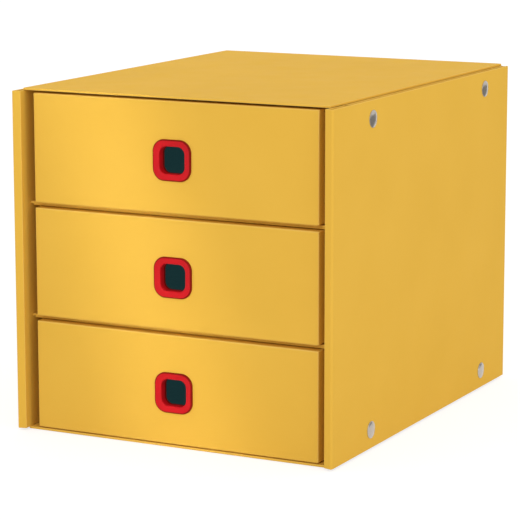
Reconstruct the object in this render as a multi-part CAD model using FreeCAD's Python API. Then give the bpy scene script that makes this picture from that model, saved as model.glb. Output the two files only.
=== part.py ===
"""Desktop cabinet of laminated board with three drawers, closed by press studs.

Units are millimetres. X points to the right, Y to the back and Z up. The origin is on the surface that
the cabinet stands on, under the middle of its outline. The drawers pull out towards -Y.
"""
import FreeCAD, Part
import math
import os

from FreeCAD import Vector

# Overall sizes of the casing, without the stud caps
width = 286.0
depth = 358.0
height = 282.0

# Board and fits
board = 1.8             # laminated board of the panels, shelves and drawer fronts
fold_inside = 0.3       # inner radius of a fold
seat = 0.2              # between boards that are glued or pressed together

# Side panels: an outer and an inner skin joined by a rounded fold along the front
side_wall = 6.0         # both skins and the hollow between them
nose_depth = 8.0        # how far back the rounded fold reaches
nose_tip_radius = 1.5
side_inset = 2.0        # the skins stop this far above the ground and below the top face

# Top, bottom and back panels
front_recess = 8.0      # from the front of the side panels to the boards and drawers between them
flange_setback = 22.0   # side flanges and runners start this far behind the drawer fronts
top_flange = 34.0
rear_flange = 24.0
flange_taper = 9.0      # the free corners of the flanges are cut off at an angle
tongue_length = 30.0    # the back panel's tongues reach this far into the side panels
tongue_clearance = 0.3

# Shelves and runners
shelf_setback = 8.0     # the front edges of the shelves lie this far behind the drawer fronts
runner_height = 12.0    # above the shelf
bottom_runner_height = 28.0
runner_clearance = 1.0  # beside the tray
glue_flange = 16.0      # below the shelf

# Press studs
stud_from_front = 72.0
stud_from_back = 54.0
stud_from_end = 16.7    # above the ground, and below the top face
stud_sheet = 0.7        # metal of the socket's floor and of the ball's base
cap_radius = 7.0
cap_height = 1.5        # of the crown, over the side panel
cap_rim = 0.5
cap_shank_radius = 2.0
socket_radius = 5.5
ball_radius = 2.8
ball_neck = 0.3         # the neck is this much slimmer than the ball
ball_base_radius = 4.6
stud_play = 0.1         # round shanks, balls and rivets
rivet_radius = 1.5
rivet_head_radius = 4.2
rivet_head = 0.6
inner_hole_border = 2.0 # round the socket, in the inner skin

# Drawers
front_gap = 9.5         # between the side panels and the drawer fronts
front_rise = 1.2        # from the floor of the bay to the lower edge of the front
front_drop = 1.9        # from the upper edge of the front to the board above
front_return = 14.0     # depth of the folded cap, face included
glide = 0.3             # between the floor of the bay and the tray
tray_wall = 3.2         # rolled wall of two plies
tray_floor = 1.8
tray_rim_round = 1.2
rear_clearance = 3.0
lining = 0.6
lining_gap = 0.1
lining_margin = 4.0     # the lining stops this far below the tray's rim
lining_window = 1.0     # round the clip ring

# Finger rings
ring_width = 34.0
ring_height = 33.0
ring_corner = 10.0
ring_proud = 1.8        # height of the rim over the drawer front
ring_bevel = 0.8
rim_border = 1.6        # crest of the rim, outside the dished part
dish_depth = 1.0        # from the crest to the bore
bore_width = 22.4
bore_height = 21.8
bore_corner = 6.0
sleeve_wall = 1.5
sleeve_clearance = 0.3
sleeve_end = 0.8        # the sleeve passes the clip ring by this much
clip_border = 3.0
clip_thickness = 1.6
clip_clearance = 0.1
ring_below_middle = 2.5

# The drawers and shelves by name, from the bottom up
drawer_names = ["bottom", "middle", "top"]
shelf_names = ["lower_shelf", "upper_shelf"]

# Places across the width
side_x = width / 2
inner_x = side_x - side_wall
panel_x = inner_x - seat
flange_x = panel_x - board
front_x = inner_x - front_gap
tray_x = front_x - board - seat
runner_x = tray_x + runner_clearance

# Places along the depth
front_y = -depth / 2
back_y = depth / 2
nose_y = front_y + nose_depth
panel_y = front_y + front_recess
flange_y = panel_y + flange_setback
back_panel_y = back_y - 2 * board - seat
inner_end_y = back_panel_y - seat
face_back_y = panel_y + board
tray_front_y = face_back_y + seat
tray_wall_y = tray_front_y + tray_wall
tray_back_y = inner_end_y - board - rear_clearance
sleeve_back_y = tray_wall_y + clip_thickness + sleeve_end

# Heights
side_low = side_inset
side_high = height - side_inset
top_under = height - board
bay_height = (height - (len(drawer_names) + 1) * board) / len(drawer_names)
bay_pitch = bay_height + board
front_height = bay_height - front_rise - front_drop
ring_above_floor = front_rise + front_height / 2 - ring_below_middle
rim_above_floor = front_rise + front_height - board - seat

# Outline of the ring's sleeve
sleeve_width = bore_width + 2 * sleeve_wall
sleeve_height = bore_height + 2 * sleeve_wall
sleeve_corner = bore_corner + sleeve_wall


def box(x0, x1, y0, y1, z0, z1):
    """Returns the block between two corners."""
    return Part.makeBox(x1 - x0, y1 - y0, z1 - z0, Vector(x0, y0, z0))


def mirrored(shape):
    """Returns a shape's twin on the other side of the middle plane."""
    return shape.mirror(Vector(0, 0, 0), Vector(1, 0, 0))


def across(shape):
    """Returns a shape and its twin as a list."""
    return [shape, mirrored(shape)]


def joined(first, *others):
    """Returns one solid made of pieces that touch or overlap."""
    return first.fuse(list(others)).removeSplitter()


def closed_face(edges):
    """Returns the face inside a closed line of edges."""
    return Part.Face(Part.Wire(Part.sortEdges(edges)[0]))


def folded_board(points, run):
    """Returns a board folded at right angles and drawn out along its folds.

    Args:
        points: the middle of the board at its first end, at each fold and at its last end.
        run: vector along the folds, from one edge of the board to the other.
    """
    radius = fold_inside + board / 2
    edges = []
    start = points[0]
    for before, fold, after in zip(points, points[1:], points[2:]):
        back = (before - fold).normalize()
        ahead = (after - fold).normalize()
        centre = fold + (back + ahead) * radius
        middle = centre - (back + ahead).normalize() * radius
        edges.append(Part.makeLine(start, fold + back * radius))
        edges.append(Part.Arc(fold + back * radius, middle, fold + ahead * radius).toShape())
        start = fold + ahead * radius
    edges.append(Part.makeLine(start, points[-1]))
    one_face = Part.Wire(edges).makeOffset2D(board / 2, 0, False, True)
    return one_face.makeOffset2D(-board, 0, True, True).extrude(run)


def side_folds(half, end_y):
    """Returns a board folded the same way at both sides, from the flanges' front to a depth.

    Args:
        half: pairs of X and Z along the middle of the board, from its right end to its last right fold.
        end_y: place of the back edge.
    """
    right = [Vector(x, flange_y, z) for x, z in half]
    left = [Vector(-x, flange_y, z) for x, z in reversed(half)]
    return folded_board(right + left, Vector(0, end_y - flange_y, 0))


def rear_fold(half_width, y, level, end):
    """Returns a level board that is folded up or down at the back.

    Args:
        half_width: half of its width.
        y: place of the middle of the folded flange.
        level: height of the middle of the level board.
        end: height of the flange's free edge.
    """
    x = -half_width
    points = [Vector(x, flange_y, level), Vector(x, y, level), Vector(x, y, end)]
    return folded_board(points, Vector(2 * half_width, 0, 0))


def corner_wedge(y, z, along, up):
    """Returns a wedge that cuts the free corner off the flanges on both sides.

    Args:
        y: place of the corner.
        z: height of the corner.
        along: length of the cut, with the sign of its direction from the corner.
        up: height of the cut, with the sign of its direction from the corner.
    """
    x = flange_x - seat
    corners = [Vector(x, y, z), Vector(x, y + along, z), Vector(x, y, z + up)]
    wedge = Part.Face(Part.makePolygon(corners + corners[:1])).extrude(Vector(side_wall, 0, 0))
    return Part.makeCompound(across(wedge))


def stud_places():
    """Returns the places of the press studs on one side, as pairs of Y and Z."""
    ys = [front_y + stud_from_front, back_y - stud_from_back]
    zs = [stud_from_end, height - stud_from_end]
    return [(y, z) for y in ys for z in zs]


def hole_across(radius, x0, x1, y, z):
    """Returns the round hole through a wall that lies between two places across the width."""
    return Part.makeCylinder(radius, x1 - x0 + 2 * seat, Vector(x0 - seat, y, z), Vector(1, 0, 0))


def rivet_holes():
    """Returns the rivet holes through the side flanges of a panel."""
    holes = []
    for y, z in stud_places():
        holes += across(hole_across(rivet_radius + stud_play, flange_x, panel_x, y, z))
    return Part.makeCompound(holes)


def nose_outline(inset):
    """Returns the round front of the side panel, set in by a distance.

    Two long arcs start along the skins and run together towards the front. A small tip joins them,
    or they meet in a crease where the inset leaves no room for it.
    """
    half_wall = side_wall / 2
    middle_x = side_x - half_wall
    tip_y = nose_depth - nose_tip_radius
    side_radius = (half_wall ** 2 + tip_y ** 2 - nose_tip_radius ** 2) / (side_wall - 2 * nose_tip_radius)
    centre_x = side_radius - half_wall
    reach = side_radius - inset
    creased = inset >= nose_tip_radius
    end_angle = math.acos(centre_x / reach) if creased else math.atan2(tip_y, centre_x)

    def on_side(side, angle):
        x = reach * math.cos(angle) - centre_x
        return Vector(middle_x + side * x, nose_y - reach * math.sin(angle), 0)

    edges = [Part.Arc(*[on_side(side, angle) for angle in (0, end_angle / 2, end_angle)]).toShape()
             for side in (1, -1)]
    if not creased:
        tip = Vector(middle_x, front_y + inset, 0)
        edges.append(Part.Arc(on_side(1, end_angle), tip, on_side(-1, end_angle)).toShape())
    return edges


def side_panel():
    """Returns the right side panel: an outer skin, a rounded front fold and an inner skin."""
    outer_skin = [
        Vector(side_x, nose_y, 0), Vector(side_x, back_y, 0),
        Vector(side_x - board, back_y, 0), Vector(side_x - board, nose_y, 0)]
    inner_skin = [
        Vector(inner_x, nose_y, 0), Vector(inner_x, inner_end_y, 0),
        Vector(inner_x + board, inner_end_y, 0), Vector(inner_x + board, nose_y, 0)]
    edges = Part.makePolygon(outer_skin).Edges + Part.makePolygon(inner_skin).Edges
    section = closed_face(edges + nose_outline(0) + nose_outline(board))
    section.translate(Vector(0, 0, side_low))
    panel = section.extrude(Vector(0, 0, side_high - side_low))
    for y, z in stud_places():
        panel = panel.cut(hole_across(cap_shank_radius + stud_play, side_x - board, side_x, y, z))
        panel = panel.cut(hole_across(socket_radius + inner_hole_border, inner_x, inner_x + board, y, z))
    return panel


def top_panel():
    """Returns the top panel, folded down at its sides and at the back."""
    low = top_under - top_flange
    level = height - board / 2
    plate = box(-panel_x, panel_x, panel_y, back_y - board - fold_inside, top_under, height)
    x = panel_x - board / 2
    sides = side_folds([(x, low), (x, level)], inner_end_y)
    rear = rear_fold(panel_x, back_y - board / 2, level, top_under - rear_flange)
    panel = joined(plate, sides, rear)
    panel = panel.cut(corner_wedge(flange_y, low, flange_taper, flange_taper))
    panel = panel.cut(corner_wedge(inner_end_y, low, -flange_taper, flange_taper))
    return panel.cut(rivet_holes())


def bottom_panel():
    """Returns the bottom panel, whose sides roll over into hollow runners."""
    top = board + bottom_runner_height
    level = board / 2
    plate = box(-panel_x, panel_x, panel_y, back_y - board - fold_inside, 0, board)
    x = panel_x - board / 2
    guide_x = runner_x + board / 2
    half = [(guide_x, board + seat), (guide_x, top - board / 2), (x, top - board / 2), (x, level)]
    sides = side_folds(half, inner_end_y)
    rear = rear_fold(panel_x, back_y - board / 2, level, board + rear_flange)
    return joined(plate, sides, rear).cut(rivet_holes())


def back_panel():
    """Returns the back panel and the tongues that slide into the double side walls."""
    x = side_x - board - tongue_clearance - board / 2
    y = back_panel_y + board / 2
    low = board + seat
    end_y = y - tongue_length
    points = [Vector(-x, end_y, low), Vector(-x, y, low), Vector(x, y, low), Vector(x, end_y, low)]
    panel = folded_board(points, Vector(0, 0, top_under - seat - low))
    panel = panel.cut(corner_wedge(end_y, low, flange_taper, flange_taper))
    return panel.cut(corner_wedge(end_y, top_under - seat, flange_taper, -flange_taper))


def shelf(floor):
    """Returns a shelf whose folded side runners guide the drawer above it.

    Args:
        floor: height of the shelf's upper face.
    """
    rib = floor + runner_height - board / 2
    level = floor - board / 2
    low = floor - glue_flange
    plate = box(-panel_x, panel_x, panel_y + shelf_setback, flange_y, floor - board, floor)
    x = panel_x - board / 2
    guide_x = runner_x + board / 2
    half = [(x, low), (x, rib), (guide_x, rib), (guide_x, level)]
    sides = side_folds(half, inner_end_y - board - seat)
    rear = rear_fold(runner_x, inner_end_y - board / 2, level, floor - rear_flange)
    panel = joined(plate, sides, rear)
    return panel.cut(corner_wedge(flange_y, low, flange_taper, flange_taper))


def turned(outline, y, z):
    """Returns a piece turned about an axis across the width.

    Args:
        outline: edges of the half section, closed along the axis or clear of it.
        y: place of the axis.
        z: height of the axis.
    """
    piece = closed_face(outline).revolve(Vector(0, 0, 0), Vector(1, 0, 0), 360)
    piece.translate(Vector(0, y, z))
    return piece


def steps(points):
    """Returns the straight edges through pairs of X and radius."""
    return Part.makePolygon([Vector(x, radius, 0) for x, radius in points]).Edges


def stud_cap(y, z):
    """Returns a domed cap on the outer face of the right side panel, with its shank."""
    crown = side_x + cap_height
    rim = side_x + cap_rim
    rise = cap_height - cap_rim
    dome_radius = (cap_radius ** 2 + rise ** 2) / (2 * rise)
    half_angle = math.asin(cap_radius / dome_radius) / 2
    middle = Vector(
        crown - dome_radius * (1 - math.cos(half_angle)), dome_radius * math.sin(half_angle), 0)
    dome = Part.Arc(Vector(crown, 0, 0), middle, Vector(rim, cap_radius, 0)).toShape()
    shank_end = side_x - board - stud_sheet
    return turned([dome] + steps([
        (rim, cap_radius), (side_x, cap_radius), (side_x, cap_shank_radius),
        (shank_end, cap_shank_radius), (shank_end, 0), (crown, 0)]), y, z)


def stud_socket(y, z):
    """Returns a socket behind the outer skin, open towards the ball."""
    skin = side_x - board
    floor = skin - stud_sheet - seat
    mouth = inner_x + board - seat
    neck = cap_shank_radius + stud_play
    room = ball_radius + stud_play
    return turned(steps([
        (skin, neck), (skin, socket_radius), (mouth, socket_radius), (mouth, room),
        (floor, room), (floor, neck), (skin, neck)]), y, z)


def stud_ball(y, z):
    """Returns a ball stud on the outer face of a flange, with the rivet that holds it there."""
    base = panel_x
    top = base + stud_sheet
    tip = side_x - board - stud_sheet - 2 * seat
    head = flange_x - rivet_head
    neck = ball_radius - ball_neck
    middle = Vector((top + tip) / 2, ball_radius, 0)
    bulge = Part.Arc(Vector(top, neck, 0), middle, Vector(tip, neck, 0)).toShape()
    return turned([bulge] + steps([
        (tip, neck), (tip, 0), (head, 0), (head, rivet_head_radius), (flange_x, rivet_head_radius),
        (flange_x, rivet_radius), (base, rivet_radius), (base, ball_base_radius),
        (top, ball_base_radius), (top, neck)]), y, z)


def stud_group(make):
    """Returns one kind of piece of all the press studs, as a group of solids."""
    pieces = []
    for y, z in stud_places():
        pieces += across(make(y, z))
    return Part.makeCompound(pieces)


def rounded_outline(wide, tall, corner, y, z):
    """Returns the outline of a rounded rectangle that faces the front, centred over X = 0."""
    half_w = wide / 2
    half_h = tall / 2
    flat_w = half_w - corner
    flat_h = half_h - corner
    bend = corner * math.sqrt(0.5)
    edges = [
        Part.makeLine(Vector(flat_w, y, z + half_h), Vector(-flat_w, y, z + half_h)),
        Part.makeLine(Vector(-flat_w, y, z - half_h), Vector(flat_w, y, z - half_h)),
        Part.makeLine(Vector(half_w, y, z - flat_h), Vector(half_w, y, z + flat_h)),
        Part.makeLine(Vector(-half_w, y, z + flat_h), Vector(-half_w, y, z - flat_h))]
    for side, end in ((1, 1), (-1, 1), (-1, -1), (1, -1)):
        upright = Vector(side * half_w, y, z + end * flat_h)
        middle = Vector(side * (flat_w + bend), y, z + end * (flat_h + bend))
        level = Vector(side * flat_w, y, z + end * half_h)
        edges.append(Part.Arc(upright, middle, level).toShape())
    return Part.Wire(Part.sortEdges(edges)[0])


def rounded_block(wide, tall, corner, y0, y1, z):
    """Returns a rounded rectangle drawn out from one depth to another."""
    return Part.Face(rounded_outline(wide, tall, corner, y0, z)).extrude(Vector(0, y1 - y0, 0))


def ring_hole(floor, y0, y1):
    """Returns the opening for the sleeve through a board between two depths."""
    return rounded_block(
        sleeve_width + 2 * sleeve_clearance, sleeve_height + 2 * sleeve_clearance,
        sleeve_corner + sleeve_clearance, y0 - seat, y1 + seat, floor + ring_above_floor)


def finger_ring(floor):
    """Returns the finger ring: a dished rim over the drawer front, and a sleeve through it."""
    z = floor + ring_above_floor
    crest = panel_y - ring_proud
    rim = rounded_block(ring_width, ring_height, ring_corner, crest, panel_y, z)
    outer_edges = [edge for edge in rim.Edges if edge.BoundBox.YMax < crest + seat]
    rim = rim.makeChamfer(min(ring_bevel, ring_proud / 2), outer_edges)
    sleeve = rounded_block(sleeve_width, sleeve_height, sleeve_corner, panel_y, sleeve_back_y, z)
    mouth = rounded_outline(
        ring_width - 2 * rim_border, ring_height - 2 * rim_border, ring_corner - rim_border, crest, z)
    throat = rounded_outline(bore_width, bore_height, bore_corner, crest + dish_depth, z)
    dish = Part.makeLoft([mouth, throat], True, True)
    bore = rounded_block(bore_width, bore_height, bore_corner, crest - seat, sleeve_back_y + seat, z)
    return rim.fuse(sleeve).cut(dish).cut(bore)


def ring_clip(floor):
    """Returns the clip ring that holds the sleeve against the inside of the tray."""
    z = floor + ring_above_floor
    end_y = tray_wall_y + clip_thickness
    clip = rounded_block(
        sleeve_width + 2 * clip_border, sleeve_height + 2 * clip_border, sleeve_corner + clip_border,
        tray_wall_y, end_y, z)
    return clip.cut(rounded_block(
        sleeve_width + 2 * clip_clearance, sleeve_height + 2 * clip_clearance,
        sleeve_corner + clip_clearance, tray_wall_y - seat, end_y + seat, z))


def drawer_front(floor):
    """Returns the front panel: a face whose top and sides fold back round the tray."""
    low = floor + front_rise
    high = low + front_height
    back = panel_y + front_return
    cap = box(-front_x, front_x, panel_y, back, low, high)
    outer_edges = [
        edge for edge in cap.Edges
        if edge.BoundBox.YMax < panel_y + seat and edge.BoundBox.ZMax > low + seat]
    cap = cap.makeFillet(fold_inside + board / 2, outer_edges)
    room = box(-front_x + board, front_x - board, face_back_y, back + seat, low - seat, high - board)
    return cap.cut(room).cut(ring_hole(floor, panel_y, face_back_y))


def drawer_tray(floor):
    """Returns the tray: a floor and four rolled walls, as tall as the room under the front panel's top."""
    low = floor + glide
    rim = floor + rim_above_floor
    inside_x = tray_x - tray_wall
    inside_back = tray_back_y - tray_wall
    block = box(-tray_x, tray_x, tray_front_y, tray_back_y, low, rim)
    hollow = box(-inside_x, inside_x, tray_wall_y, inside_back, low + tray_floor, rim + seat)
    tray = block.cut(hollow)
    rim_edges = [edge for edge in tray.Edges if edge.BoundBox.ZMin > rim - seat]
    tray = tray.makeFillet(min(tray_rim_round, tray_wall / 3), rim_edges)
    return tray.cut(ring_hole(floor, tray_front_y, tray_wall_y))


def drawer_lining(floor):
    """Returns the lining paper inside the tray, cut away round the clip ring."""
    low = floor + glide + tray_floor + lining_gap
    high = floor + rim_above_floor - lining_margin
    x = tray_x - tray_wall - lining_gap
    y0 = tray_wall_y + lining_gap
    y1 = tray_back_y - tray_wall - lining_gap
    outer = box(-x, x, y0, y1, low, high)
    inner = box(-x + lining, x - lining, y0 + lining, y1 - lining, low + lining, high + seat)
    border = clip_border + lining_window
    window = rounded_block(
        sleeve_width + 2 * border, sleeve_height + 2 * border, sleeve_corner + border,
        y0 - seat, y0 + lining + seat, floor + ring_above_floor)
    return outer.cut(inner).cut(window)


def casing():
    """Returns the pieces of the casing by name."""
    right = side_panel()
    pieces = {
        "right_side_panel": right,
        "left_side_panel": mirrored(right),
        "top_panel": top_panel(),
        "bottom_panel": bottom_panel(),
        "back_panel": back_panel(),
        "press_stud_caps": stud_group(stud_cap),
        "press_stud_sockets": stud_group(stud_socket),
        "press_stud_balls": stud_group(stud_ball),
    }
    for index, name in enumerate(shelf_names):
        pieces[name] = shelf(board + (index + 1) * bay_pitch)
    return pieces


def drawers():
    """Returns the pieces of the drawers by name."""
    pieces = {}
    for index, name in enumerate(drawer_names):
        floor = board + index * bay_pitch
        pieces[name + "_drawer_tray"] = drawer_tray(floor)
        pieces[name + "_drawer_front"] = drawer_front(floor)
        pieces[name + "_drawer_lining"] = drawer_lining(floor)
        pieces[name + "_finger_ring"] = finger_ring(floor)
        pieces[name + "_ring_clip"] = ring_clip(floor)
    return pieces


def main():
    """Writes one STEP file for each piece."""
    os.makedirs("parts", exist_ok=True)
    for name, shape in {**casing(), **drawers()}.items():
        if not shape.isValid():
            raise ValueError(name + " isn't a valid shape")
        print(name, len(shape.Solids), round(shape.Volume, 1))
        shape.exportStep("parts/" + name + ".step")


main()
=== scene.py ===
"""Looks of a three-drawer desktop cabinet of laminated board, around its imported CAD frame.

Places are in metres in the frame's own axes: X to the right, Y to the back and Z up. The drawers open
towards -Y.
"""

import logging
import math
from dataclasses import dataclass
from enum import Enum

import bmesh
import bpy
from mathutils import Matrix, Vector


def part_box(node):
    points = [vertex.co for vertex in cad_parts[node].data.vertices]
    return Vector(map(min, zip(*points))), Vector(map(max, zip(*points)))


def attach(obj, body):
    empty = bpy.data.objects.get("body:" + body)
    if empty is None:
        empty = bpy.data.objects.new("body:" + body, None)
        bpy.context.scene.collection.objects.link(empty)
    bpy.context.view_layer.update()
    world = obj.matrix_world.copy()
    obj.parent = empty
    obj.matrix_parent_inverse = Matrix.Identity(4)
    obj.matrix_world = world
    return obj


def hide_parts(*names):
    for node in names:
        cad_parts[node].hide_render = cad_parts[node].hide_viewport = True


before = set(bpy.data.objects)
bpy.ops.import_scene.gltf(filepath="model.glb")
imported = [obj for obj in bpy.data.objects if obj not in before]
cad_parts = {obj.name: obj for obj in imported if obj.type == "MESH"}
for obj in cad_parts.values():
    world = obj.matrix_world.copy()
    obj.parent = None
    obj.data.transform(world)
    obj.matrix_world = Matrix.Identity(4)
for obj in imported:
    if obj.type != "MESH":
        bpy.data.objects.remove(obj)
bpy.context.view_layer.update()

MM = 0.001
IMAGE_SIDE = 520            # pixels, the picture is square
SENSOR = 36.0               # millimetres, Blender's own sensor width
WELD = 0.001 * MM           # points nearer than this are one
ARC = 0.5                   # a bevel's profile that is an arc of a circle
ADJACENT = -1               # a bevel's material number that takes over its neighbours'
BYTE = 255
SRGB_KNEE = 0.04045         # up to here an sRGB value is in proportion to the light
SRGB_SLOPE = 12.92
SRGB_LIFT = 0.055
SRGB_POWER = 2.4
PATTERN_LOW = 0.3           # nearly all values of a noise pattern lie between these two
PATTERN_HIGH = 0.7
EDGE_STRIPS = 2             # in the rounding of an edge
EDGE_ANGLE = math.radians(40)       # edges that bend by more are rounded
FLAT_WEIGHT = 90            # of 100, how far the large faces set the shading at their edges

log = logging.getLogger("cabinet")


class Body(Enum):
    """The rigid bodies of the frame."""

    CASING = "casing"
    TOP = "top_drawer"
    MIDDLE = "middle_drawer"
    BOTTOM = "bottom_drawer"


class Slot(Enum):
    """Names of the material slots, one of which each new piece is given."""

    BOARD = "board"
    RING = "ring_plastic"
    METAL = "stud_metal"


def linear(hex_colour: str) -> tuple[float, float, float, float]:
    """Turns an sRGB hex colour into the linear one that shaders take.

    Args:
        hex_colour: the colour as "#RRGGBB".

    Returns:
        Red, green, blue and an alpha of 1.
    """
    def channel(start: int) -> float:
        """Reads one channel of the colour.

        Args:
            start: where its two digits start.

        Returns:
            Its value in linear light.
        """
        value = int(hex_colour[start:start + 2], 16) / BYTE
        if value <= SRGB_KNEE:
            return value / SRGB_SLOPE
        return ((value + SRGB_LIFT) / (1 + SRGB_LIFT)) ** SRGB_POWER

    return channel(1), channel(3), channel(5), 1.0


def grey(level: float) -> tuple[float, float, float, float]:
    """Returns a grey of one linear level, from 0 for black to 1 for white."""
    return level, level, level, 1.0


def around(middle: float, drift: float) -> tuple[float, float]:
    """Returns the two limits of a value that drifts to both sides of its middle."""
    return middle - drift, middle + drift


def add_node(tree: bpy.types.NodeTree, kind: str, inputs: dict | None = None, **settings) -> bpy.types.Node:
    """Adds a node with its settings, its values and its links.

    Args:
        tree: the node tree.
        kind: the node's type, such as "ShaderNodeBump".
        inputs: by socket name or number, a plain value or the output socket to link from.
        **settings: the node's own properties.

    Returns:
        The new node.
    """
    node = tree.nodes.new(kind)
    for name, value in settings.items():
        setattr(node, name, value)
    for name, value in (inputs or {}).items():
        if isinstance(value, bpy.types.NodeSocket):
            tree.links.new(value, node.inputs[name])
        else:
            node.inputs[name].default_value = value
    return node


def new_material(name: str) -> tuple[bpy.types.Material, bpy.types.NodeTree]:
    """Makes an empty node material.

    Args:
        name: the material's name.

    Returns:
        The material and its node tree.
    """
    material = bpy.data.materials.new(name)
    material.use_nodes = True
    material.node_tree.nodes.clear()
    return material, material.node_tree


def varied(tree: bpy.types.NodeTree, place: bpy.types.NodeSocket, size: float, low: float, high: float,
           detail: float = 2.0) -> bpy.types.NodeSocket:
    """Adds a soft pattern whose value wanders between two limits.

    Args:
        tree: the node tree.
        place: the coordinates that the pattern follows.
        size: about how far apart its patches are, in metres.
        low: the value in its dark patches.
        high: the value in its light patches.
        detail: how many finer layers it has.

    Returns:
        The output socket with the value.
    """
    noise = add_node(tree, "ShaderNodeTexNoise", {"Vector": place, "Scale": 1 / size, "Detail": detail})
    spread = add_node(tree, "ShaderNodeMapRange", {
        "Value": noise.outputs["Fac"], "From Min": PATTERN_LOW, "From Max": PATTERN_HIGH,
        "To Min": low, "To Max": high})
    return spread.outputs["Result"]


def tinted(tree: bpy.types.NodeTree, place: bpy.types.NodeSocket, size: float, colour: str,
           patch_colour: str, detail: float = 2.0) -> bpy.types.NodeSocket:
    """Adds a tint that wanders between two colours.

    Args:
        tree: the node tree.
        place: the coordinates that the tint follows.
        size: about how far apart its patches are, in metres.
        colour: the main colour as "#RRGGBB".
        patch_colour: the colour of the patches.
        detail: how many finer layers the patches have.

    Returns:
        The output socket with the colour.
    """
    mix = add_node(tree, "ShaderNodeMix", {
        "Factor": varied(tree, place, size, 0.0, 1.0, detail),
        "A": linear(colour), "B": linear(patch_colour)}, data_type="RGBA")
    return mix.outputs["Result"]


def lifted(tree: bpy.types.NodeTree, place: bpy.types.NodeSocket, size: float, height: float,
           detail: float = 3.0, **pattern: float) -> bpy.types.NodeSocket:
    """Adds a fine relief, which tilts the surface here and there.

    Args:
        tree: the node tree.
        place: the coordinates that the relief follows.
        size: about how far apart its bumps are, in metres.
        height: how high its bumps are, in metres.
        detail: how many finer layers it has.
        **pattern: other values of its noise pattern.

    Returns:
        The output socket with the tilted normal.
    """
    noise = add_node(tree, "ShaderNodeTexNoise", {
        "Vector": place, "Scale": 1 / size, "Detail": detail, **pattern})
    bump = add_node(tree, "ShaderNodeBump", {"Height": noise.outputs["Fac"], "Distance": height})
    return bump.outputs["Normal"]


def cover(tree: bpy.types.NodeTree, inputs: dict) -> None:
    """Adds the shader of a solid surface and links it to the material's output.

    Args:
        tree: the node tree.
        inputs: the shader's values and links, by socket name.
    """
    shader = add_node(tree, "ShaderNodeBsdfPrincipled", inputs)
    add_node(tree, "ShaderNodeOutputMaterial", {"Surface": shader.outputs["BSDF"]})


@dataclass(frozen=True)
class LaminatedBoard:
    """Grey board wrapped in printed paper under a satin film.

    The print is even, with a slow drift in its density. The film is fairly dull, and the paper's fibres
    lift it by thousandths of a millimetre, so that reflections lose their edges.
    """

    name: str = "satin_laminated_board"
    colour: str = "#E6B649"
    drift_colour: str = "#E3B346"
    drift: float = 70 * MM
    drift_detail: float = 3.0
    fibre: float = 1.6 * MM         # coarser than real fibres, which are too fine to show
    fibre_detail: float = 4.0
    fibre_roughness: float = 0.6
    relief: float = 0.006 * MM
    roughness: float = 0.56
    roughness_drift: float = 0.04
    gloss_patches: float = 3.0      # patches of gloss along one of colour
    film_level: float = 0.01        # a matt film reflects less than bare plastic

    def make(self) -> bpy.types.Material:
        """Makes the material.

        Returns:
            The material.
        """
        material, tree = new_material(self.name)
        place = add_node(tree, "ShaderNodeTexCoord").outputs["Object"]
        cover(tree, {
            "Base Color": tinted(tree, place, self.drift, self.colour, self.drift_colour, self.drift_detail),
            "Roughness": varied(
                tree, place, self.drift / self.gloss_patches, *around(self.roughness, self.roughness_drift)),
            "Normal": lifted(
                tree, place, self.fibre, self.relief, self.fibre_detail, Roughness=self.fibre_roughness),
            "Specular IOR Level": self.film_level})
        return material


@dataclass(frozen=True)
class MouldedPlastic:
    """Injection-moulded ABS, semi-gloss, with the faint grain of the mould.

    The deep red has a soft broad sheen on its rounded edges.
    """

    name: str = "moulded_red_abs"
    colour: str = "#C8121B"
    dark_colour: str = "#BE1018"
    flow: float = 14 * MM
    grain: float = 0.5 * MM
    relief: float = 0.006 * MM
    roughness: float = 0.36
    roughness_drift: float = 0.04
    gloss_patches: float = 4.0      # patches of gloss along one of colour
    gloss_level: float = 0.14

    def make(self) -> bpy.types.Material:
        """Makes the material.

        Returns:
            The material.
        """
        material, tree = new_material(self.name)
        place = add_node(tree, "ShaderNodeTexCoord").outputs["Object"]
        cover(tree, {
            "Base Color": tinted(tree, place, self.flow, self.colour, self.dark_colour),
            "Roughness": varied(
                tree, place, self.flow / self.gloss_patches, *around(self.roughness, self.roughness_drift)),
            "Normal": lifted(tree, place, self.grain, self.relief),
            "Specular IOR Level": self.gloss_level})
        return material


@dataclass(frozen=True)
class NickelPlate:
    """Pressed steel with a polished nickel plating, warm grey and bright.

    Polishing on a wheel leaves fine marks, which stretch the reflections a little.
    """

    name: str = "polished_nickel_plate"
    colour: str = "#B8B1A8"
    mark: float = 0.35 * MM
    mark_squeeze: tuple[float, float, float] = (1.0, 1.0, 0.2)  # marks are longer upwards
    relief: float = 0.004 * MM
    gloss_patch: float = 4 * MM
    roughness: float = 0.2
    roughness_drift: float = 0.06

    def make(self) -> bpy.types.Material:
        """Makes the material.

        Returns:
            The material.
        """
        material, tree = new_material(self.name)
        place = add_node(tree, "ShaderNodeTexCoord").outputs["Object"]
        along = add_node(tree, "ShaderNodeMapping", {"Vector": place, "Scale": self.mark_squeeze})
        cover(tree, {
            "Base Color": linear(self.colour), "Metallic": 1.0,
            "Roughness": varied(
                tree, place, self.gloss_patch, *around(self.roughness, self.roughness_drift)),
            "Normal": lifted(tree, along.outputs["Vector"], self.mark, self.relief)})
        return material


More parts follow.
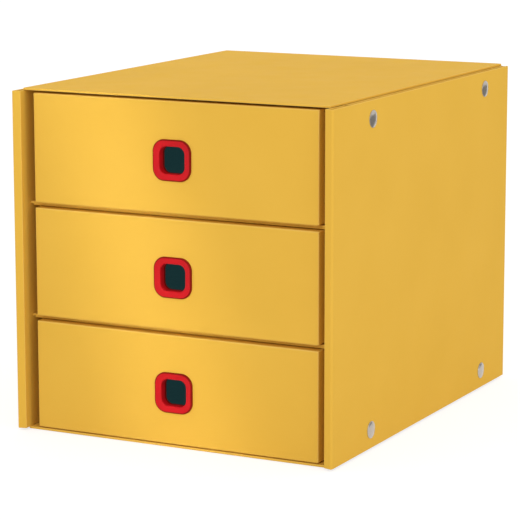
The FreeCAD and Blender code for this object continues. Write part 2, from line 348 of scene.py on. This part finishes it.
@dataclass(frozen=True)
class LiningPaper:
    """Uncoated dark petrol paper, dull, with fibres and faint flecks.

    It glows by up to three hundredths of white, so that a shut drawer shows dark petrol behind its ring
    and not black.
    """

    name: str = "uncoated_lining_paper"
    colour: str = "#26383C"
    fleck_colour: str = "#1D2C30"
    fleck: float = 2.5 * MM
    fleck_detail: float = 5.0
    fibre: float = 0.8 * MM
    fibre_detail: float = 5.0
    fibre_distortion: float = 0.8
    relief: float = 0.03 * MM
    gloss_patch: float = 10 * MM
    roughness: float = 0.86
    roughness_drift: float = 0.06
    gloss_level: float = 0.3
    glow_colour: str = "#162E30"
    glow: float = 1.0

    def make(self) -> bpy.types.Material:
        """Makes the material.

        Returns:
            The material.
        """
        material, tree = new_material(self.name)
        place = add_node(tree, "ShaderNodeTexCoord").outputs["Object"]
        cover(tree, {
            "Base Color": tinted(tree, place, self.fleck, self.colour, self.fleck_colour, self.fleck_detail),
            "Roughness": varied(
                tree, place, self.gloss_patch, *around(self.roughness, self.roughness_drift)),
            "Normal": lifted(
                tree, place, self.fibre, self.relief, self.fibre_detail, Distortion=self.fibre_distortion),
            "Specular IOR Level": self.gloss_level, "Emission Color": linear(self.glow_colour),
            "Emission Strength": self.glow})
        return material


@dataclass(frozen=True)
class Finishes:
    """The materials that the pieces share."""

    board: bpy.types.Material
    # film on folds and edges: a little glossier, and painted paler as a highlight
    crease: bpy.types.Material
    plastic: bpy.types.Material
    # rings' rim rounds and sleeve ends: a coarser grain, and a darker red that is painted shade
    dull_plastic_painted_shade: bpy.types.Material
    nickel: bpy.types.Material
    lining: bpy.types.Material


def make_finishes() -> Finishes:
    """Makes each finish of the cabinet once.

    Along folds and cut edges the film is stretched over the board, so it is a little glossier; it is also
    painted paler there, as a painted highlight along the folds and edges.
    The round of a ring's rim and the end of its sleeve have a coarser grain, so they look dull; their darker
    red is painted shade.

    Returns:
        The finishes.
    """
    return Finishes(
        board=LaminatedBoard().make(),
        # painted highlight: the paler colour stands in for light catching the folds and edges
        crease=LaminatedBoard(
            name="satin_laminated_board_creased_painted_highlight", colour="#EABF5E", drift_colour="#E7BA55",
            roughness=0.46).make(),
        plastic=MouldedPlastic().make(),
        # painted shade: the darker red stands in for the shade on the ring's rim and at the end of its bore
        dull_plastic_painted_shade=MouldedPlastic(
            name="dull_red_abs_painted_shade", colour="#8C1409", dark_colour="#7E120A", relief=0.02 * MM, roughness=0.6,
            gloss_level=0.08).make(),
        nickel=NickelPlate().make(),
        lining=LiningPaper().make())


def shown_piece(bm: bmesh.types.BMesh, name: str, materials: list[bpy.types.Material]) -> bpy.types.Object:
    """Turns a bmesh into a smooth-shaded object at the origin and frees it.

    Args:
        bm: the finished bmesh, in the frame's own axes.
        name: the piece's name.
        materials: its materials in the order of their slots.

    Returns:
        The new object.
    """
    for face in bm.faces:
        face.smooth = True
    mesh = bpy.data.meshes.new(name)
    bm.to_mesh(mesh)
    bm.free()
    for material in materials:
        mesh.materials.append(material)
    piece = bpy.data.objects.new(name, mesh)
    bpy.context.scene.collection.objects.link(piece)
    return piece


def round_edges(piece: bpy.types.Object, radius: float, material: int) -> None:
    """Rounds the sharp edges of a piece and keeps its flat faces flat to the light.

    Args:
        piece: the object.
        radius: how far from the edge the rounding starts, in metres.
        material: number of the material slot for the rounded strips.
    """
    bevel = piece.modifiers.new("rounded_edges", "BEVEL")
    bevel.width = radius
    bevel.segments = EDGE_STRIPS
    bevel.limit_method = "ANGLE"
    bevel.angle_limit = EDGE_ANGLE
    bevel.use_clamp_overlap = False
    # the rounded strips take this slot; on the boards it is the creased film, painted paler as a highlight
    bevel.material = material
    weight = piece.modifiers.new("flat_faces", "WEIGHTED_NORMAL")
    weight.keep_sharp = False
    weight.weight = FLAT_WEIGHT


def dress(node: str, material: bpy.types.Material) -> None:
    """Gives a CAD node that stays in the scene its finish.

    Args:
        node: the node's name.
        material: the finish.
    """
    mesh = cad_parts[node].data
    mesh.materials.clear()
    mesh.materials.append(material)
    log.info("%s keeps its own mesh, in %s", node, material.name)


def extrude(bm: bmesh.types.BMesh, section: bmesh.types.BMFace, along: tuple[float, float, float]) -> None:
    """Draws a flat section out into a closed shape.

    Args:
        bm: the bmesh that the section is in.
        section: the face.
        along: how far and which way, in metres.
    """
    raised = bmesh.ops.extrude_face_region(bm, geom=[section], use_keep_orig=True)["geom"]
    bmesh.ops.translate(
        bm, verts=[part for part in raised if isinstance(part, bmesh.types.BMVert)], vec=along)


@dataclass
class RoundedCopy:
    """A piece of the frame as one closed mesh with softened edges."""

    node: str
    body: Body
    slot: Slot
    edge: float = 0.35 * MM
    flat_angle: float = math.radians(0.6)   # faces that bend by less are one
    level_share: float = 0.9        # of a normal along Z, from which a face counts as level
    squareness: float = 0.96        # of a normal along its nearest axis; the faces of folds have less

    def build(self, materials: list[bpy.types.Material]) -> bpy.types.Object:
        """Builds the piece and lets it stand for its node.

        Args:
            materials: the finish of its faces, and of its edges where there is a second.

        Returns:
            The new object.
        """
        bm = self.own_shape()
        self.join_flat(bm)
        return self.finish(bm, materials)

    def own_shape(self) -> bmesh.types.BMesh:
        """Takes over the node's mesh.

        Returns:
            The node's shape with its points joined.
        """
        bm = bmesh.new()
        bm.from_mesh(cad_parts[self.node].data)
        bmesh.ops.remove_doubles(bm, verts=bm.verts[:], dist=WELD)
        return bm

    def join_flat(self, bm: bmesh.types.BMesh) -> None:
        """Makes one face of each flat patch of triangles.

        Args:
            bm: the shape.
        """
        bmesh.ops.dissolve_limit(
            bm, angle_limit=self.flat_angle, use_dissolve_boundaries=False,
            verts=bm.verts[:], edges=bm.edges[:])

    def finish(self, bm: bmesh.types.BMesh, materials: list[bpy.types.Material]) -> bpy.types.Object:
        """Makes the piece from its shape and lets it stand for its node.

        The bent edges of a folded board are narrow level faces with many inward corners. They are split,
        so that their rounding stays clean.

        Args:
            bm: the closed shape.
            materials: the finish of its faces, and of its folds and edges where there is a second.

        Returns:
            The new object.
        """
        level = [face for face in bm.faces if abs(face.normal.z) > self.level_share]
        bmesh.ops.connect_verts_concave(bm, faces=level)
        for face in bm.faces:
            # the faces of folds take the last finish, on the boards the creased film painted paler as a
            # highlight
            folded = max(abs(part) for part in face.normal) < self.squareness
            face.material_index = len(materials) - 1 if folded else 0
        piece = shown_piece(bm, self.node + "_finished", materials)
        round_edges(piece, self.edge, len(materials) - 1)
        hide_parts(self.node)
        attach(piece, self.body.value)
        log.info("%s stands for %s", piece.name, self.node)
        return piece


@dataclass
class SidePanel(RoundedCopy):
    """A side panel of double-walled board whose front is a flat fold with two creases.

    The skins are the node's own. They are cut off behind the front, and the fold is made anew: it is a
    little wider than the wall behind it, which the press studs pull together.
    """

    board: float = 1.8 * MM
    fold_depth: float = 22 * MM         # from the front to where the skins are the node's own
    fold_width: float = 7.5 * MM
    fold_slope: float = 2.0 * MM        # how far the inner crease lies behind the outer one
    crease_radius: float = 2.2 * MM     # of the outer one; the inner one is sharp
    crease_segments: int = 6
    squareness: float = 0.0             # so the faces of its fold look like the flat ones
    lowered: float = 0.5 * MM           # closes the slit over the edge of the bottom panel

    def build(self, materials: list[bpy.types.Material]) -> bpy.types.Object:
        """Builds the panel and lets it stand for its node.

        Args:
            materials: the finish of its faces, and of its folds and edges.

        Returns:
            The new object.
        """
        low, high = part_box(self.node)
        cut_y = low.y + self.fold_depth
        bm = self.own_shape()
        bmesh.ops.bisect_plane(
            bm, geom=bm.verts[:] + bm.edges[:] + bm.faces[:], plane_co=(0, cut_y, 0), plane_no=(0, 1, 0),
            clear_inner=True)
        extrude(bm, self.fold_section(bm, low, high, cut_y), (0, 0, high.z - low.z))
        ends = [face for face in bm.faces if all(abs(vert.co.y - cut_y) < WELD for vert in face.verts)]
        bmesh.ops.delete(bm, geom=ends, context="FACES")
        bmesh.ops.remove_doubles(bm, verts=bm.verts[:], dist=WELD)
        bmesh.ops.recalc_face_normals(bm, faces=bm.faces[:])
        self.join_flat(bm)
        for vert in bm.verts:
            if vert.co.z < low.z + WELD:
                vert.co.z -= self.lowered
        return self.finish(bm, materials)

    def fold_section(self, bm: bmesh.types.BMesh, low: Vector, high: Vector,
                     cut_y: float) -> bmesh.types.BMFace:
        """Adds the section of the fold at the panel's lower edge.

        Args:
            bm: the bmesh to add it to.
            low: lowest corner of the node's box.
            high: highest corner of the node's box.
            cut_y: where the node's own skins begin.

        Returns:
            The section, with its outer crease rounded and its front on the box.
        """
        side = math.copysign(1.0, high.x)
        outer, inner = max(high.x, -low.x), min(abs(high.x), abs(low.x))
        crease_x, crease_y = outer - self.fold_width, low.y + self.fold_slope
        corners = [
            (outer, cut_y), (outer, low.y), (crease_x, crease_y), (inner, cut_y),
            (inner + self.board, cut_y), (crease_x + self.board, crease_y + self.board),
            (outer - self.board, low.y + self.board), (outer - self.board, cut_y)]
        verts = [bm.verts.new((side * x, y, low.z)) for x, y in corners]
        outer_crease = verts[1]
        bm.faces.new(verts)
        bmesh.ops.bevel(
            bm, geom=[outer_crease], offset=self.crease_radius, offset_type="OFFSET",
            segments=self.crease_segments, profile=ARC, affect="VERTICES", material=ADJACENT)
        section = min(bm.faces, key=lambda face: face.calc_center_median().y)
        front = [vert for vert in section.verts if vert.co.y < cut_y - WELD]
        bmesh.ops.translate(bm, verts=front, vec=(0, low.y - min(vert.co.y for vert in front), 0))
        return section


@dataclass(frozen=True)
class Outline:
    """A rounded rectangle that faces the front, at one depth."""

    width: float
    height: float
    corner: float
    y: float

    def inset(self, by: float, y: float) -> "Outline":
        """Returns the outline set in on all sides, at another depth."""
        return Outline(self.width - 2 * by, self.height - 2 * by, self.corner - by, y)

    def add(self, bm: bmesh.types.BMesh, centre: Vector, segments: int) -> list[bmesh.types.BMEdge]:
        """Adds the outline as a loop of edges.

        Args:
            bm: the bmesh to add it to.
            centre: its middle, of which the depth isn't read.
            segments: edges in each corner.

        Returns:
            The edges of the loop.
        """
        corners = [bm.verts.new((centre.x + x * self.width / 2, self.y, centre.z + z * self.height / 2))
                   for x, z in ((-1, -1), (1, -1), (1, 1), (-1, 1))]
        bm.faces.new(corners)
        made = bmesh.ops.bevel(
            bm, geom=corners, offset=self.corner, offset_type="OFFSET", segments=segments, profile=ARC,
            affect="VERTICES", material=ADJACENT)
        edges = {edge for vert in made["verts"] for edge in vert.link_edges}
        faces = {face for edge in edges for face in edge.link_faces}
        bmesh.ops.delete(bm, geom=list(faces), context="FACES_ONLY")
        return list(edges)


@dataclass
class FingerRing:
    """A finger ring of one drawer: a rounded rim, a dished flange and a sleeve through the front."""

    drawer: Body
    rim_round: float = 1.1 * MM
    crest: float = 1.6 * MM             # from the outline to where the dish starts
    crest_depth: float = 0.04 * MM      # how far that line lies behind the front of the rim
    dish: float = 1.0 * MM
    throat_width: float = 22.4 * MM
    throat_height: float = 21.8 * MM
    throat_corner: float = 6.0 * MM
    throat_round: float = 0.7 * MM
    mouth_share: float = 0.25           # of the throat's round, which stands in front of the dish
    sleeve_wall: float = 1.5 * MM
    corner: float = 10.0 * MM
    corner_segments: int = 14
    arc_steps: int = 5
    sleeve_end: float = 2.2 * MM        # how much of the bore has the coarser grain and the painted shade
    sleeve_strips: int = 3              # the end of the bore, the rear edge and the outside of the sleeve
    sharp_angle: float = math.radians(50)   # edges that bend by more look sharp

    def stations(self, node: str, face_y: float) -> list[Outline]:
        """Lists the outlines from the back of the rim, over its crest and through the bore.

        Args:
            node: name of the ring's CAD node.
            face_y: place of the drawer's front face.

        Returns:
            The outlines in order. The last one joins the first.
        """
        low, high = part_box(node)
        base = Outline(high.x - low.x, high.z - low.z, self.corner, face_y)
        sleeve = Outline(
            self.throat_width + 2 * self.sleeve_wall, self.throat_height + 2 * self.sleeve_wall,
            self.throat_corner + self.sleeve_wall, face_y)
        throat = Outline(self.throat_width, self.throat_height, self.throat_corner, low.y + self.dish)
        found = [sleeve, base]
        for step in range(self.arc_steps + 1):
            angle = math.pi / 2 * step / self.arc_steps
            found.append(base.inset(
                self.rim_round * (1 - math.cos(angle)), low.y + self.rim_round * (1 - math.sin(angle))))
        found.append(base.inset(self.crest, low.y + self.crest_depth))
        mouth = throat.inset(
            -self.throat_round, low.y + self.dish - self.throat_round * self.mouth_share)
        found.append(mouth)
        for step in range(1, self.arc_steps + 1):
            angle = math.pi / 2 * step / self.arc_steps
            found.append(throat.inset(
                -self.throat_round * (1 - math.sin(angle)),
                mouth.y + self.throat_round * (1 - math.cos(angle))))
        found.append(throat.inset(0.0, high.y - self.sleeve_end))
        found.append(throat.inset(0.0, high.y))
        found.append(Outline(sleeve.width, sleeve.height, sleeve.corner, high.y))
        return found

    def build(self, smooth: bpy.types.Material, dull_shaded: bpy.types.Material) -> bpy.types.Object:
        """Builds the ring and lets it stand for its node.

        Args:
            smooth: the plastic of its flange and bore.
            dull_shaded: the plastic of its rim's round and of its sleeve's end, with a coarser grain and a
                darker red that is painted shade.

        Returns:
            The new object.
        """
        name = self.drawer.value.removesuffix("_drawer")
        node = name + "_finger_ring"
        low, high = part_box(node)
        centre = (low + high) / 2
        bm = bmesh.new()
        loops = [outline.add(bm, centre, self.corner_segments)
                 for outline in self.stations(node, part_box(name + "_drawer_front")[0].y)]
        rim_strips = self.arc_steps + 2         # the back of the flange and the round of the rim
        for number, (loop, following) in enumerate(zip(loops, loops[1:] + loops[:1])):
            strip = bmesh.ops.bridge_loops(bm, edges=loop + following)["faces"]
            for face in strip:
                # the rim's round and the sleeve's end take the darker red, a painted shade
                face.material_index = int(number < rim_strips or number >= len(loops) - self.sleeve_strips)
        bmesh.ops.recalc_face_normals(bm, faces=bm.faces[:])
        piece = shown_piece(bm, name + "_ring_moulded", [smooth, dull_shaded])
        piece.data.set_sharp_from_angle(angle=self.sharp_angle)
        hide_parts(node)
        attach(piece, self.drawer.value)
        log.info("%s stands for %s", piece.name, node)
        return piece


@dataclass
class Drawer:
    """One drawer: tray, front panel, lining, finger ring and clip ring."""

    body: Body
    clip_edge: float = 0.2 * MM

    def build(self, finishes: Finishes) -> None:
        """Builds and dresses the drawer's pieces.

        Args:
            finishes: the shared materials.
        """
        name = self.body.value.removesuffix("_drawer")
        for part in ("_drawer_tray", "_drawer_front"):
            RoundedCopy(name + part, self.body, Slot.BOARD).build([finishes.board, finishes.crease])
        dress(name + "_drawer_lining", finishes.lining)
        FingerRing(self.body).build(finishes.plastic, finishes.dull_plastic_painted_shade)
        RoundedCopy(name + "_ring_clip", self.body, Slot.RING, self.clip_edge).build([finishes.plastic])


@dataclass
class StudCaps:
    """The domed caps of the press studs, on the outer skins of both side panels."""

    node: str = "press_stud_caps"
    radius: float = 7.0 * MM
    height: float = 1.5 * MM
    roll: float = 0.25 * MM             # radius of the rolled rim
    shank_radius: float = 2.0 * MM
    shank: float = 2.5 * MM
    steps_around: int = 64
    dome_steps: int = 8
    roll_steps: int = 12
    sharp_angle: float = math.radians(50)   # edges that bend by more look sharp

    def places(self) -> list[tuple[int, Vector]]:
        """Lists the caps.

        Returns:
            For each cap its side, as -1 or 1, and the place where its axis meets the skin.
        """
        low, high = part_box(self.node)
        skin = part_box("right_side_panel")[1].x
        ys = (low.y + self.radius, high.y - self.radius)
        zs = (low.z + self.radius, high.z - self.radius)
        return [(side, Vector((side * skin, y, z))) for side in (-1, 1) for y in ys for z in zs]

    def build(self, nickel: bpy.types.Material) -> bpy.types.Object:
        """Builds all the caps as one piece that stands for the node.

        Args:
            nickel: their material.

        Returns:
            The new object.
        """
        bm = bmesh.new()
        for side, place in self.places():
            turned = self.one_cap()
            turned.transform(Matrix.Translation(place) @ Matrix.Diagonal((side, 1, 1, 1)))
            bmesh.ops.recalc_face_normals(turned, faces=turned.faces[:])
            mesh = bpy.data.meshes.new("cap")
            turned.to_mesh(mesh)
            turned.free()
            bm.from_mesh(mesh)
            bpy.data.meshes.remove(mesh)
        piece = shown_piece(bm, "stud_caps_domed", [nickel])
        piece.data.set_sharp_from_angle(angle=self.sharp_angle)
        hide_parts(self.node)
        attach(piece, Body.CASING.value)
        log.info("%s stands for %s", piece.name, self.node)
        return piece

    def one_cap(self) -> bmesh.types.BMesh:
        """Turns one cap about the X axis.

        Returns:
            The cap, its rim on X = 0 and its dome towards +X.
        """
        rise = self.height - 2 * self.roll
        flat_radius = self.radius - self.roll
        dome_radius = (flat_radius ** 2 + rise ** 2) / (2 * rise)
        bm = bmesh.new()
        crown = bm.verts.new((self.height, 0, 0))
        dome = bmesh.ops.spin(
            bm, geom=[crown], cent=(self.height - dome_radius, 0, 0), axis=(0, 0, 1),
            angle=math.asin(flat_radius / dome_radius), steps=self.dome_steps)
        last = next(part for part in dome["geom_last"] if isinstance(part, bmesh.types.BMVert))
        rim = bmesh.ops.spin(
            bm, geom=[last], cent=(self.roll, flat_radius, 0), axis=(0, 0, 1), angle=math.pi,
            steps=self.roll_steps)
        last = next(part for part in rim["geom_last"] if isinstance(part, bmesh.types.BMVert))
        last.co.x = 0.0
        for x, radius in ((0.0, self.shank_radius), (-self.shank, self.shank_radius), (-self.shank, 0.0)):
            vert = bm.verts.new((x, radius, 0))
            bm.edges.new((last, vert))
            last = vert
        bmesh.ops.spin(
            bm, geom=bm.verts[:] + bm.edges[:], cent=(0, 0, 0), axis=(1, 0, 0), angle=math.tau,
            steps=self.steps_around, use_merge=True)
        bmesh.ops.remove_doubles(bm, verts=bm.verts[:], dist=WELD)
        return bm


@dataclass
class ShelfHem:
    """The front edge of a shelf, turned down and pressed round, which closes the slit over a drawer."""

    shelf: str
    drawer_below: Body
    runner: float = 12 * MM             # height of the shelf's runners over its board
    board: float = 1.8 * MM
    half_width: float = 134 * MM
    play: float = 0.6 * MM              # over the drawer front below
    round_steps: int = 8
    sharp_angle: float = math.radians(40)   # edges that bend by more look sharp

    def build(self, materials: list[bpy.types.Material]) -> bpy.types.Object:
        """Builds the hem on the shelf's front edge.

        Args:
            materials: the finish of its faces.

        Returns:
            The new object.
        """
        low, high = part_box(self.shelf)
        name = self.drawer_below.value.removesuffix("_drawer")
        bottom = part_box(name + "_drawer_front")[1].z + self.play
        top = high.z - self.runner - self.board
        radius = self.board / 2
        bm = bmesh.new()
        outline = [(low.y, top)]
        for step in range(self.round_steps + 1):
            angle = math.pi * step / self.round_steps
            outline.append((
                low.y + radius - radius * math.cos(angle), bottom + radius - radius * math.sin(angle)))
        outline.append((low.y + self.board, top))
        end = bm.faces.new([bm.verts.new((-self.half_width, y, z)) for y, z in outline])
        extrude(bm, end, (2 * self.half_width, 0, 0))
        bmesh.ops.recalc_face_normals(bm, faces=bm.faces[:])
        piece = shown_piece(bm, self.shelf + "_hem", materials)
        piece.data.set_sharp_from_angle(angle=self.sharp_angle)
        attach(piece, Body.CASING.value)
        log.info("%s is built", piece.name)
        return piece


@dataclass
class Casing:
    """The casing: its folded board panels, its shelves and its press studs."""

    sides: tuple[str, ...] = ("left_side_panel", "right_side_panel")
    boards: tuple[str, ...] = ("top_panel", "bottom_panel", "back_panel", "upper_shelf", "lower_shelf")
    hidden_metal: tuple[str, ...] = ("press_stud_sockets", "press_stud_balls")

    def build(self, finishes: Finishes) -> None:
        """Builds and dresses the casing's pieces.

        Args:
            finishes: the shared materials.
        """
        for node in self.sides:
            SidePanel(node, Body.CASING, Slot.BOARD).build([finishes.board, finishes.crease])
        for node in self.boards:
            RoundedCopy(node, Body.CASING, Slot.BOARD).build([finishes.board, finishes.crease])
        ShelfHem("upper_shelf", Body.MIDDLE).build([finishes.board])
        ShelfHem("lower_shelf", Body.BOTTOM).build([finishes.board])
        StudCaps().build(finishes.nickel)
        for node in self.hidden_metal:
            dress(node, finishes.nickel)


@dataclass(frozen=True)
class SoftBox:
    """An area lamp that is aimed at a point."""

    name: str
    place: tuple[float, float, float]
    target: tuple[float, float, float]
    width: float
    height: float
    power: float
    spread: float = math.pi
    lean: float = 0.0               # turn about its own axis
    mirrored: bool = True           # seen in glossy surfaces

    def hang(self) -> None:
        """Adds the lamp to the scene. The camera doesn't see it."""
        lamp = bpy.data.lights.new(self.name, "AREA")
        lamp.shape = "RECTANGLE"
        lamp.size = self.width
        lamp.size_y = self.height
        lamp.energy = self.power
        lamp.spread = self.spread
        holder = bpy.data.objects.new(self.name, lamp)
        aim = (Vector(self.target) - Vector(self.place)).to_track_quat("-Z", "Y").to_matrix().to_4x4()
        holder.matrix_world = Matrix.Translation(self.place) @ aim @ Matrix.Rotation(self.lean, 4, "Z")
        holder.visible_camera = False
        holder.visible_glossy = self.mirrored
        bpy.context.scene.collection.objects.link(holder)


def seen_by_eye(tree: bpy.types.NodeTree) -> bpy.types.NodeSocket:
    """Adds a test of where a ray of light ends.

    Args:
        tree: the node tree.

    Returns:
        The output socket: 1 for rays from the camera, a mirror or glass, and 0 for the others.
    """
    rays = add_node(tree, "ShaderNodeLightPath").outputs
    mirror = add_node(tree, "ShaderNodeMath", {0: rays["Is Camera Ray"], 1: rays["Is Glossy Ray"]},
                      operation="MAXIMUM")
    return add_node(tree, "ShaderNodeMath", {
        0: mirror.outputs[0], 1: rays["Is Transmission Ray"]}, operation="MAXIMUM").outputs[0]


@dataclass
class Studio:
    """The pale floor, the white surroundings, a dark card, the lamps and the camera."""

    surround: float = 0.9           # light from all round, beside the white that the camera sees
    floor_side: float = 12.0
    floor_cells: int = 4            # along each side
    floor_drop: float = 0.3 * MM
    floor_seen: float = 0.74        # white that the camera sees on the floor under any shadow
    floor_lit: float = 0.34         # reflectance of the floor to the camera
    floor_bounce: float = 0.8       # and to the light that it throws back
    flag_place: tuple[float, float, float] = (0.45, 0.65, 0.14)
    flag_height: float = 0.28
    flag_length: float = 1.3
    flag_cells: tuple[int, int] = (2, 4)    # up and along
    flag_tone: float = 0.35         # linear grey of the card, as the metal mirrors it
    focal: float = 165.27           # millimetres
    place: tuple[float, float, float] = (905.5 * MM, -1784.6 * MM, 496.3 * MM)
    turn: float = math.radians(27.176)
    tilt: float = math.radians(10.057)
    roll: float = math.radians(-0.071)
    optical_row: float = 240.0      # the picture's row that the lens points at
    nearest: float = 0.05           # what lies between these two distances is in the picture
    farthest: float = 50.0
    lamps: tuple[SoftBox, ...] = (
        SoftBox("front_softbox", (0.65, -2.4, 1.2), (0.0, -0.1, 0.15), width=1.4, height=1.4, power=11.0),
        SoftBox("side_softbox", (2.4, -0.5, 0.9), (0.1, 0.0, 0.14), width=1.2, height=1.2, power=7.5),
        SoftBox("gridded_strip", (-0.03, -0.75, 0.17), (-0.014, -0.17, 0.085), width=0.05, height=0.9,
                power=0.072, spread=math.radians(18), lean=math.radians(16), mirrored=False),
    )

    def build(self) -> None:
        """Sets up the floor, the card, the world, the lamps and the camera."""
        self.lay_floor()
        self.stand_flag()
        self.light_world()
        for lamp in self.lamps:
            lamp.hang()
        self.set_camera()

    def lay_floor(self) -> None:
        """Lays a plain pale floor that keeps a faint shadow of the cabinet."""
        bm = bmesh.new()
        bmesh.ops.create_grid(
            bm, x_segments=self.floor_cells, y_segments=self.floor_cells, size=self.floor_side / 2,
            matrix=Matrix.Translation((0, 0, -self.floor_drop)))
        material, tree = new_material("matt_white_floor")
        seen = seen_by_eye(tree)
        bounce = add_node(tree, "ShaderNodeBsdfDiffuse", {"Color": grey(self.floor_bounce)})
        lit = add_node(tree, "ShaderNodeBsdfDiffuse", {"Color": grey(self.floor_lit)})
        glow = add_node(tree, "ShaderNodeEmission", {"Color": grey(1.0), "Strength": self.floor_seen})
        pale = add_node(tree, "ShaderNodeAddShader", {0: lit.outputs[0], 1: glow.outputs[0]})
        both = add_node(tree, "ShaderNodeMixShader", {0: seen, 1: bounce.outputs[0], 2: pale.outputs[0]})
        add_node(tree, "ShaderNodeOutputMaterial", {"Surface": both.outputs[0]})
        shown_piece(bm, "floor", [material])

    def stand_flag(self) -> None:
        """Stands a flag, a dark card that only polished metal mirrors, beside the cabinet."""
        bm = bmesh.new()
        place = Matrix.Translation(self.flag_place) @ Matrix.Rotation(math.pi / 2, 4, "Y")
        half_size = Matrix.Diagonal((self.flag_height / 2, self.flag_length / 2, 1, 1))
        bmesh.ops.create_grid(
            bm, x_segments=self.flag_cells[0], y_segments=self.flag_cells[1], size=1.0,
            matrix=place @ half_size)
        material, tree = new_material("dark_felt_card")
        felt = add_node(tree, "ShaderNodeEmission", {"Color": grey(self.flag_tone), "Strength": 1.0})
        add_node(tree, "ShaderNodeOutputMaterial", {"Surface": felt.outputs[0]})
        flag = shown_piece(bm, "dark_card", [material])
        flag.visible_camera = False
        flag.visible_diffuse = False
        flag.visible_shadow = False
        flag.visible_transmission = False

    def light_world(self) -> None:
        """Surrounds the scene with even white light."""
        world = bpy.data.worlds.new("white_surround")
        world.use_nodes = True
        tree = world.node_tree
        tree.nodes.clear()
        strength = add_node(tree, "ShaderNodeMapRange", {
            "Value": seen_by_eye(tree), "To Min": self.surround, "To Max": 1.0})
        sky = add_node(tree, "ShaderNodeBackground", {
            "Color": grey(1.0), "Strength": strength.outputs["Result"]})
        add_node(tree, "ShaderNodeOutputWorld", {"Surface": sky.outputs[0]})
        bpy.context.scene.world = world

    def set_camera(self) -> None:
        """Sets up the camera, which looks down a little from the front right."""
        lens = bpy.data.cameras.new("camera")
        lens.sensor_width = SENSOR
        lens.lens = self.focal
        lens.shift_y = (self.optical_row - IMAGE_SIDE / 2) / IMAGE_SIDE
        lens.clip_start = self.nearest
        lens.clip_end = self.farthest
        camera = bpy.data.objects.new("camera", lens)
        camera.matrix_world = (
            Matrix.Translation(self.place) @ Matrix.Rotation(self.turn, 4, "Z")
            @ Matrix.Rotation(math.pi / 2 - self.tilt, 4, "X") @ Matrix.Rotation(self.roll, 4, "Z"))
        bpy.context.scene.collection.objects.link(camera)
        bpy.context.scene.camera = camera


def main() -> None:
    """Builds the cabinet and its studio in order."""
    logging.basicConfig(level=logging.INFO, format="%(name)s: %(message)s")
    bpy.context.scene.view_settings.view_transform = "Standard"
    finishes = make_finishes()
    Casing().build(finishes)
    for body in (Body.TOP, Body.MIDDLE, Body.BOTTOM):
        Drawer(body).build(finishes)
        log.info("%s is built", body.value)
    Studio().build()


if __name__ == "__main__":
    main()
